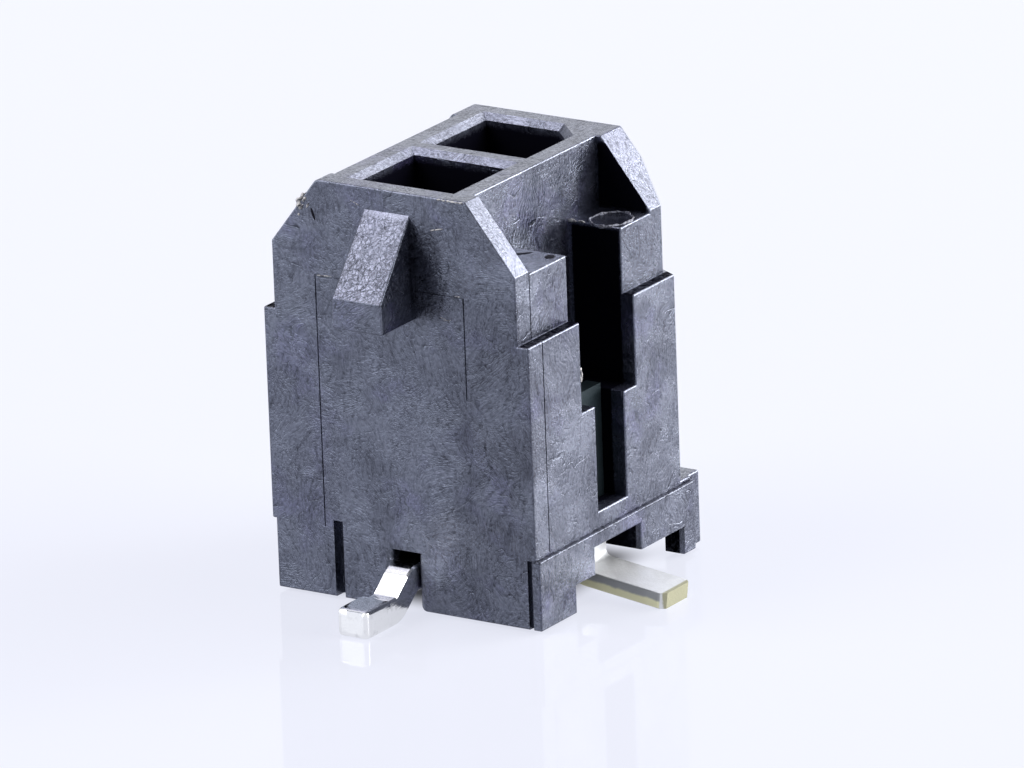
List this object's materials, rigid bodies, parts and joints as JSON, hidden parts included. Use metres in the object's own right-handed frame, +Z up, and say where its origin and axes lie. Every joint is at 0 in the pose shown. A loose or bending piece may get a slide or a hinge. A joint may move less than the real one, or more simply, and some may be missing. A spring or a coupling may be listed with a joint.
{
  "type": "pin header",
  "caption": "Vertical surface-mount pin header: square shrouded sockets in a ramped, slotted housing, gull-wing legs and side solder tabs.",
  "frame": {"origin": "on the circuit board plane, midway between the two contacts, under the middle of the legs and tabs", "axes": "+Z up out of the sockets, away from the board; -Y towards the front face with the latch ramp, along the line of the two contacts; +X to the right seen from the front"},
  "size_m": [0.0104, 0.0108, 0.0099],
  "materials": {
    "housing_plastic": "satin glass-filled moulding with fine fibre swirls",
    "tinned_contact": "bright tin plate",
    "tinned_tab": "matt tin plate over brass, bare at the cut end"
  },
  "bodies": {
    "root": {"housing": "housing_plastic", "contact_front": "tinned_contact", "contact_rear": "tinned_contact", "solder_tab_right": "tinned_tab", "solder_tab_left": "tinned_tab"}
  },
  "joints": []
}
